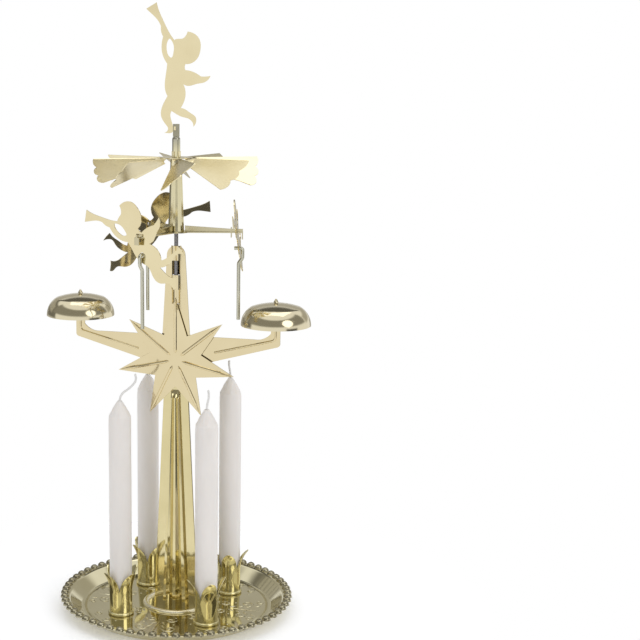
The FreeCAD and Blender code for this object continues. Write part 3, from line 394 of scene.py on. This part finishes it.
LOOKS = {
    "candle_cup": CUP_BRASS,
    "cup_rivets": CUP_BRASS,
    "pillar": PILLAR_BRASS,
    "stand_sheet": SHEET_BRASS,
    "star": SHEET_BRASS,
    "fan": FAN_BRASS,
    "spider": ARM_BRASS,
    "angel_clip": CLIP_BRASS,
    "angel": FIGURE_BRASS,
    "top_angel": FIGURE_BRASS,
    "bell_knob": BELL_BRASS,
    "rotor_tube": TUBE_BRASS,
    "pivot_cup": TUBE_BRASS,
    "striker": ROD_BRASS,
    "needle": STEEL,
}


# Outlines

def polar(radius, degrees):
    a = math.radians(degrees)
    return radius * math.cos(a), radius * math.sin(a)


def straight(a, b, count):
    """Flat points from a to b, both included."""
    shares = [k / count for k in range(count + 1)]
    return [(a[0] + (b[0] - a[0]) * t, a[1] + (b[1] - a[1]) * t) for t in shares]


def arc_points(a, b, c, count):
    """Points on the arc through three (radius, height) points, both ends included."""
    (ax, ay), (bx, by), (cx, cy) = a, b, c
    aa, bb, cc = ax ** 2 + ay ** 2, bx ** 2 + by ** 2, cx ** 2 + cy ** 2
    d = 2 * (ax * (by - cy) + bx * (cy - ay) + cx * (ay - by))
    ux = (aa * (by - cy) + bb * (cy - ay) + cc * (ay - by)) / d
    uy = (aa * (cx - bx) + bb * (ax - cx) + cc * (bx - ax)) / d
    r = math.hypot(ax - ux, ay - uy)
    first, second, third = (math.atan2(y - uy, x - ux) for x, y in (a, b, c))
    turn = (third - first) % (2 * math.pi)
    if (second - first) % (2 * math.pi) > turn:
        turn -= 2 * math.pi
    angles = [first + turn * k / count for k in range(count + 1)]
    return [(ux + r * math.cos(angle), uy + r * math.sin(angle)) for angle in angles]


def dome_points(radius, foot, degrees):
    """Points on the outline of a half ball that stands on its foot, as (radius, height)."""
    return [(reach, foot + rise) for reach, rise in (polar(radius, angle) for angle in degrees)]


def rounded(corners, radius, count=8, most=0.45):
    """An open outline through corners. Each inner corner is rounded, over that share of a side at most."""
    points = [corners[0]]
    for before, corner, after in zip(corners, corners[1:], corners[2:]):
        p, q, r = Vector(before), Vector(corner), Vector(after)
        reach = min(radius, (p - q).length * most, (r - q).length * most)
        first = q + (p - q).normalized() * reach
        last = q + (r - q).normalized() * reach
        for k in range(count + 1):
            t = k / count
            point = first.lerp(q, t).lerp(q.lerp(last, t), t)
            points.append((point.x, point.y))
    points.append(corners[-1])
    return points


# Mesh helpers

ON_AXIS = 1e-6
TUBE_ASIDE = (0.13, 0.99, 0.05)


def finish_mesh(name, bm, material, body, sharp=40.0):
    """Makes an object of a bmesh drawn in millimetres, and gives it its material and body."""
    bmesh.ops.scale(bm, vec=(MM, MM, MM), verts=bm.verts)
    bmesh.ops.recalc_face_normals(bm, faces=bm.faces)
    mesh = bpy.data.meshes.new(name)
    bm.to_mesh(mesh)
    bm.free()
    mesh.materials.append(material)
    mesh.shade_smooth()
    mesh.set_sharp_from_angle(angle=math.radians(sharp))
    obj = bpy.data.objects.new(name, mesh)
    bpy.context.scene.collection.objects.link(obj)
    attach(obj, body)
    return obj


def lathe(bm, profile, segments, centre=(0, 0), shape=None, closed=True):
    """Spins a profile of (radius, height) points about an upright axis. shape may move a point."""
    rings = []
    for radius, height in profile:
        if radius < ON_AXIS:
            rings.append([bm.verts.new((centre[0], centre[1], height))])
            continue
        ring = []
        for k in range(segments):
            a = 2 * math.pi * k / segments
            r, z = shape(radius, height, a) if shape else (radius, height)
            ring.append(bm.verts.new((centre[0] + r * math.cos(a), centre[1] + r * math.sin(a), z)))
        rings.append(ring)
    following = rings[1:] + rings[:1] if closed else rings[1:]
    for first, second in zip(rings, following):
        for k in range(segments):
            a, b = first[k % len(first)], first[(k + 1) % len(first)]
            c, d = second[(k + 1) % len(second)], second[k % len(second)]
            corners = list(dict.fromkeys((a, b, c, d)))
            if len(corners) > 2:
                bm.faces.new(corners)


def skin_rows(bm, rows):
    """Faces between rows of as many vertices each."""
    for first, second in zip(rows, rows[1:]):
        for j in range(len(first) - 1):
            bm.faces.new((first[j], first[j + 1], second[j + 1], second[j]))


def tube(bm, path, radii, sides=8):
    """A round tube along a path of points, with closed ends."""
    rings = []
    up = Vector(TUBE_ASIDE).normalized()
    for k, point in enumerate(path):
        ahead = (path[min(k + 1, len(path) - 1)] - path[max(k - 1, 0)]).normalized()
        side = ahead.cross(up).normalized()
        up = side.cross(ahead).normalized()
        ring = []
        for j in range(sides):
            a = 2 * math.pi * j / sides
            ring.append(bm.verts.new(point + (side * math.cos(a) + up * math.sin(a)) * radii[k]))
        rings.append(ring)
    skin_rows(bm, [ring + ring[:1] for ring in rings])
    bm.faces.new(rings[0])
    bm.faces.new(rings[-1])


# Tray

def make_tray():
    """The tray with its ring, sloping wall and beads, as one pressed sheet."""
    floor, under_floor = TRAY_FLOOR, TRAY_FLOOR - TRAY_SHEET
    ring_foot, ring_top = floor + RING_LIFT, floor + RING_HEIGHT
    wall = rounded(WALL_CORNERS, WALL_ROUNDING)
    top = [(0.0, floor), (HUB_RADIUS, floor)]
    top += arc_points((RING_RADIUS - RING_HALF_WIDTH, ring_foot), (RING_RADIUS, ring_top),
                      (RING_RADIUS + RING_HALF_WIDTH, ring_foot), RING_STEPS)
    top += [(radius, floor + rise) for radius, rise in wall]
    under = [(radius, under_floor + rise) for radius, rise in reversed(wall)]
    under += arc_points((RING_RADIUS + RING_HOLLOW_HALF_WIDTH, under_floor),
                        (RING_RADIUS, ring_top - TRAY_SHEET),
                        (RING_RADIUS - RING_HOLLOW_HALF_WIDTH, under_floor), RING_HOLLOW_STEPS)
    under.append((0.0, under_floor))
    bm = bmesh.new()
    lathe(bm, top + under, TRAY_SEGMENTS)
    # Faces up on the ring take the third slot, the paler brass that is a painted highlight
    for face in bm.faces:
        place = face.calc_center_median()
        on_ring = abs(place.xy.length - RING_RADIUS) < RING_HIGHLIGHT_HALF_WIDTH
        if on_ring and place.z > floor + RING_HIGHLIGHT_LIFT:
            face.material_index = 2
    hollow_radius = BEAD_RADIUS - TRAY_SHEET
    bead = dome_points(BEAD_RADIUS, BEAD_FOOT, range(0, 90, 10))
    bead += [(0.0, BEAD_FOOT + BEAD_RADIUS), (0.0, BEAD_FOOT + hollow_radius)]
    bead += dome_points(hollow_radius, BEAD_FOOT, range(80, -1, -20))
    # Each bead takes the second slot, the darker brass that is painted shade
    for k in range(BEAD_COUNT):
        before = len(bm.faces)
        lathe(bm, bead, BEAD_SEGMENTS, centre=polar(BEAD_CIRCLE, 360.0 * k / BEAD_COUNT))
        bm.faces.ensure_lookup_table()
        for face in bm.faces[before:]:
            face.material_index = 1
    tray = finish_mesh("tray_pressed", bm, TRAY_BRASS, "stand")
    tray.data.materials.append(BEAD_SHADED_BRASS)
    tray.data.materials.append(RING_HIGHLIGHT_BRASS)
    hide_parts("tray")


def ridge(bm, path, widths, height, sides=6):
    """A low rounded ridge on the tray's floor along a flat path, with a half width for each point."""
    rows = []
    for k, (x, y) in enumerate(path):
        px, py = path[max(k - 1, 0)]
        nx, ny = path[min(k + 1, len(path) - 1)]
        ahead = Vector((nx - px, ny - py)).normalized()
        row = []
        for j in range(sides + 1):
            t = 2 * j / sides - 1
            rise = math.sqrt(max(0.0, 1 - t * t)) * height * widths[k] / max(widths)
            reach = widths[k] * t
            row.append(bm.verts.new((x - ahead.y * reach, y + ahead.x * reach, TRAY_FLOOR + rise)))
        rows.append(row)
    skin_rows(bm, rows)


def spiral(centre, first_radius, last_radius, start, turns, count):
    """Flat points on a curl whose radius goes from the first to the last by equal shares."""
    points = []
    for k in range(count + 1):
        t = k / count
        x, y = polar(first_radius * (last_radius / first_radius) ** t, start + 360 * turns * t)
        points.append((centre[0] + x, centre[1] + y))
    return points


def taper(count, wide, tip=0.1, lead=0.15, trail=0.3, eye=0.12):
    """Half widths of a curl: a pointed tip, a lead to its full width, and a trail to its narrower eye."""
    shares = [k / count for k in range(1, count + 1)]
    return [wide * tip] + [wide * min(1.0, t / lead, (1 - t) / trail + eye) for t in shares]


def swell(count, thin, more, skew=1.0):
    """Half widths that swell in the middle, or nearer the start where the skew is under one."""
    return [thin + more * math.sin(math.pi * (k / count) ** skew) for k in range(count + 1)]


def motif_place(place, number, angle, side):
    """Where a leaf's end or a dot lies, from its radius and lean and their steps."""
    radius, radius_step, lean, lean_step = place
    return polar(radius + radius_step * number, angle + side * (lean + lean_step * number))


def make_scrolls():
    """The scrolls, leaves and dots that are pressed in the floor between the ring and the wall."""
    bm = bmesh.new()
    for motif in range(MOTIFS):
        angle = 360.0 * motif / MOTIFS
        wide = motif % 2 == 0
        leaf_count, leaf_foot, leaf_tip = WIDE_LEAVES if wide else NARROW_LEAVES
        for side in (-1, 1):
            for radius, lean, size, start, turns in WIDE_CURLS if wide else NARROW_CURLS:
                centre = polar(radius, angle + side * lean)
                curl = spiral(centre, size, CURL_EYE, angle + side * start, side * turns, CURL_STEPS)
                ridge(bm, curl, taper(CURL_STEPS, CURL_HALF_WIDTH), CURL_HEIGHT)
            for leaf in range(leaf_count):
                first = motif_place(leaf_foot, leaf, angle, side)
                last = motif_place(leaf_tip, leaf, angle, side)
                widths = swell(10, thin=0.08, more=0.6, skew=0.7)
                ridge(bm, straight(first, last, 10), widths, LEAF_HEIGHT)
            for dot in range(DOT_COUNT):
                x, y = motif_place(DOT_PLACE, dot, angle, side)
                line = straight((x - DOT_HALF_LENGTH, y), (x + DOT_HALF_LENGTH, y), 8)
                ridge(bm, line, swell(8, thin=0.12, more=0.45), DOT_HEIGHT)
        if wide:
            first, last = (polar(radius, angle) for radius in STEM_ENDS)
            ridge(bm, straight(first, last, 16), swell(16, thin=0.1, more=0.55), STEM_HEIGHT)
    finish_mesh("tray_scrolls", bm, TRAY_BRASS, "stand", sharp=80.0)


# Bells

def bell_inside(radius, height):
    """The point inside the bell across from one outside."""
    inward = min(1.0, BELL_INWARD_SHARE * radius / BELL_RADIUS)
    down = min(1.0, BELL_DOWN_SHARE * height / BELL_HEIGHT)
    return max(BELL_BORE, radius - BELL_SHEET * inward), height - BELL_SHEET * down


def make_bells():
    outside = arc_points(*BELL_SIDE_ARC, BELL_SIDE_STEPS)
    outside += arc_points(*BELL_TOP_ARC, BELL_TOP_STEPS)[1:]
    inside = [bell_inside(radius, height) for radius, height in reversed(outside)]
    for side in ("left", "right"):
        node = f"bell_{side}"
        rim = heights(node)[0]
        profile = [(radius, rim + height) for radius, height in outside + inside]
        bm = bmesh.new()
        lathe(bm, profile, BELL_SEGMENTS, centre=middle(node).xy)
        body = f"bell_{side}_body"
        bell = finish_mesh(f"bell_shell_{side}", bm, BELL_BRASS, body, sharp=50.0)
        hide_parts(node)


# Candles and wicks

def make_candle(number):
    foot, tip = heights(f"candle_{number}")
    seat = foot + SEAT_HEIGHT
    shoulder = tip - POINT_HEIGHT
    bulge_share, rise_share = POINT_BULGE_SHARES
    bulge = (CANDLE_RADIUS * bulge_share, shoulder + POINT_HEIGHT * rise_share)
    profile = [(radius, foot + rise) for radius, rise in SEAT_OUTLINE]
    profile += straight(profile[-1], (CANDLE_RADIUS, shoulder - SHOULDER_GAP), CANDLE_STEPS)[1:]
    profile += arc_points((CANDLE_RADIUS, shoulder), bulge, (POINT_RADIUS, tip), POINT_STEPS)
    profile += [(radius, tip + rise) for radius, rise in WICK_HOLE_OUTLINE]

    def handmade(radius, height, a):
        """Draws the wax in by a hair, unevenly, as dipping leaves it, and most at the shoulder."""
        if height > tip - TIP_EDGE or height < seat:
            return radius, height
        round_scale, up_scale = DENT_SCALES
        rise = height * up_scale + number * CANDLE_OFFSET
        place = Vector((math.cos(a) * round_scale, math.sin(a) * round_scale, rise))
        round_scale, up_scale = RIPPLE_SCALES
        fine = Vector((place.x * round_scale, place.y * round_scale, height * up_scale + number))
        dent = 0.5 + 0.5 * noise.noise(place)
        ripple = 0.5 + 0.5 * noise.noise(fine)
        near = max(0.0, 1 - abs(height - shoulder - SHOULDER_MIDDLE) / SHOULDER_REACH)
        ripple_depth = RIPPLE_DEPTH + SHOULDER_RIPPLE_DEPTH * near
        return radius - DENT_DEPTH * dent - ripple_depth * ripple, height

    bm = bmesh.new()
    centre = middle(f"candle_cup_{number}").xy
    lathe(bm, profile, CANDLE_SEGMENTS, centre, handmade, closed=False)
    body = f"candle_{number}_body"
    candle = finish_mesh(f"candle_dipped_{number}", bm, WAX, body, sharp=60.0)
    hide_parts(f"candle_{number}")


def wick_path(tip, length, lean, bends, step=0.25, root_steps=8):
    """Points up through the candle's tip and on through the wick's bends."""
    points = [Vector((0, 0, tip - WICK_ROOT + WICK_ROOT * k / root_steps)) for k in range(root_steps + 1)]
    place = points[-1]
    heading = 0.0
    for share, bend in bends:
        count = max(4, int(length * share / step))
        for k in range(count):
            heading += math.radians(bend) / count
            place = place + Vector((math.sin(heading), 0, math.cos(heading))) * (length * share / count)
            points.append(place)
    turn = Matrix.Rotation(math.radians(lean), 3, "Z")
    return [turn @ point for point in points]


def make_wick(number, length, lean, bends):
    """A wick twisted of thin strands."""
    path = wick_path(heights(f"candle_{number}")[1], length, lean, bends)
    centre = middle(f"candle_cup_{number}").xy.to_3d()
    radii = [STRAND_RADIUS] * (len(path) - 1) + [STRAND_END_RADIUS]
    bm = bmesh.new()
    for strand in range(STRAND_COUNT):
        points = []
        for k, point in enumerate(path):
            ahead = (path[min(k + 1, len(path) - 1)] - path[max(k - 1, 0)]).normalized()
            side = ahead.cross(Vector(STRAND_ASIDE)).normalized()
            other = side.cross(ahead)
            a = 2 * math.pi * (strand / STRAND_COUNT + k * STRAND_TWIST)
            points.append(centre + point + (side * math.cos(a) + other * math.sin(a)) * STRAND_OFFSET)
        tube(bm, points, radii)
    body = f"candle_{number}_body"
    wick = finish_mesh(f"wick_twisted_{number}", bm, COTTON, body, sharp=60.0)
    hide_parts(f"wick_{number}")


# Pieces that keep their packed form

def dress_nodes():
    for name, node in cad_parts.items():
        keys = [key for key in LOOKS if name.startswith(key)]
        if not keys:
            continue
        node.data.materials.clear()
        node.data.materials.append(LOOKS[max(keys, key=len)])


# Studio

def area_light(name, place, target, size, power, shape="RECTANGLE"):
    data = bpy.data.lights.new(name, "AREA")
    data.shape = shape
    data.size, data.size_y = size
    data.energy = power
    light = bpy.data.objects.new(name, data)
    light.location = place
    light.rotation_euler = (Vector(target) - Vector(place)).to_track_quat("-Z", "Y").to_euler()
    bpy.context.scene.collection.objects.link(light)


def screen(name, sides, rises, shade, soft=8.0):
    """A matt piece of the dome, faded over its edges: the metal shows it and the camera doesn't.

    sides and rises are its limits in degrees, to the camera's right and up from the level, and soft is
    how wide its edges are."""
    bm = bmesh.new()
    cover = bm.verts.layers.float.new("cover")
    rows = []
    for i in range(SCREEN_STEPS + 1):
        side = sides[0] + (sides[1] - sides[0]) * i / SCREEN_STEPS
        row = []
        for j in range(SCREEN_STEPS + 1):
            rise = rises[0] + (rises[1] - rises[0]) * j / SCREEN_STEPS
            x, y = polar(math.cos(math.radians(rise)), VIEW_SIDE + side)
            vert = bm.verts.new(Vector((x, y, math.sin(math.radians(rise)))) * DOME_RADIUS)
            edge = min(side - sides[0], sides[1] - side, rise - rises[0], rises[1] - rise)
            inside = min(1.0, edge / soft)
            vert[cover] = inside * inside * (3 - 2 * inside)
            row.append(vert)
        rows.append(row)
    skin_rows(bm, rows)
    mesh = bpy.data.meshes.new(name)
    bm.to_mesh(mesh)
    bm.free()
    s = Shader(name)
    s.main.inputs["Base Color"].default_value = (0, 0, 0, 1)
    s.main.inputs["Specular IOR Level"].default_value = 0.0
    s.main.inputs["Roughness"].default_value = 0.9
    s.main.inputs["Emission Color"].default_value = SCREEN_TINT
    s.main.inputs["Emission Strength"].default_value = shade
    s.feed(s.add("ShaderNodeAttribute", attribute_name="cover").outputs["Fac"], "Alpha")
    mesh.materials.append(s.material)
    obj = bpy.data.objects.new(name, mesh)
    obj.location = (0, 0, DOME_HEIGHT)
    obj.visible_camera = False
    obj.visible_shadow = False
    obj.visible_diffuse = False
    bpy.context.scene.collection.objects.link(obj)


def make_floor():
    """Pale paper that takes the shadow and fades into the white background."""
    bm = bmesh.new()
    lathe(bm, straight((0.0, 0.0), (PAPER_RADIUS, 0.0), PAPER_RINGS), PAPER_SEGMENTS, closed=False)
    bmesh.ops.scale(bm, vec=(MM, MM, MM), verts=bm.verts)
    mesh = bpy.data.meshes.new("floor")
    bm.to_mesh(mesh)
    bm.free()
    s = Shader("floor_paper")
    grain = s.spread(s.noise(scale=0.03, detail=4.0), 0, 1)
    s.feed(s.blend(grain, (0.97, 0.97, 0.97), (0.955, 0.955, 0.955)), "Base Color")
    s.main.inputs["Roughness"].default_value = 0.8
    s.main.inputs["Specular IOR Level"].default_value = 0.1
    length = s.add("ShaderNodeVectorMath", operation="LENGTH")
    s.link(s.place, length.inputs[0])
    s.feed(s.spread(length.outputs["Value"], 1.0, 0.0, *PAPER_FADE), "Alpha")
    path = s.add("ShaderNodeLightPath")
    seen = s.total(path.outputs["Is Camera Ray"], path.outputs["Is Glossy Ray"])
    s.main.inputs["Emission Color"].default_value = (1, 1, 1, 1)
    s.feed(s.spread(seen, 0.0, PAPER_GLOW, start=0.0, end=1.0), "Emission Strength")
    mesh.materials.append(s.material)
    floor = bpy.data.objects.new("floor", mesh)
    bpy.context.scene.collection.objects.link(floor)


def make_world():
    """Plain light all round, seen as white."""
    world = bpy.data.worlds.new("studio")
    bpy.context.scene.world = world
    world.use_nodes = True
    tree = world.node_tree
    tree.nodes.clear()
    output = tree.nodes.new("ShaderNodeOutputWorld")
    seen = tree.nodes.new("ShaderNodeBackground")
    seen.inputs["Color"].default_value = (1, 1, 1, 1)
    lit = tree.nodes.new("ShaderNodeBackground")
    lit.inputs["Color"].default_value = WORLD_TINT
    lit.inputs["Strength"].default_value = WORLD_STRENGTH
    path = tree.nodes.new("ShaderNodeLightPath")
    shown = path.outputs["Is Camera Ray"]
    for ray in ("Is Glossy Ray", "Is Transmission Ray"):
        either = tree.nodes.new("ShaderNodeMath")
        either.operation = "MAXIMUM"
        tree.links.new(shown, either.inputs[0])
        tree.links.new(path.outputs[ray], either.inputs[1])
        shown = either.outputs[0]
    mix = tree.nodes.new("ShaderNodeMixShader")
    tree.links.new(shown, mix.inputs["Fac"])
    tree.links.new(lit.outputs[0], mix.inputs[1])
    tree.links.new(seen.outputs[0], mix.inputs[2])
    tree.links.new(mix.outputs[0], output.inputs["Surface"])


make_tray()
make_scrolls()
make_bells()
for number, wick in enumerate(WICKS, 1):
    make_candle(number)
    make_wick(number, *wick)
dress_nodes()
make_floor()
make_world()
area_light("top", place=(0.0, 0.2, 1.5), target=(0, 0, 0.1), size=(1.2, 1.0), power=3.0)
area_light("softbox", place=(0.905, -0.588, 0.676), target=(0, 0, 0.15), size=(0.74, 0.74), power=2.3,
           shape="DISK")
screen("screen_behind", sides=(110, 250), rises=(2, 32), shade=0.49)
screen("screen_behind_high", sides=(138, 224), rises=(27, 82), shade=0.13)
screen("screen_behind_low", sides=(138, 222), rises=(-30, 4), shade=0.5, soft=5.0)
screen("screen_front_high", sides=(-112, 114), rises=(6, 52), shade=0.30)
screen("screen_left", sides=(-160, -88), rises=(-12, 40), shade=0.2)
screen("screen_low_right", sides=(28, 74), rises=(-24, 3), shade=0.09)
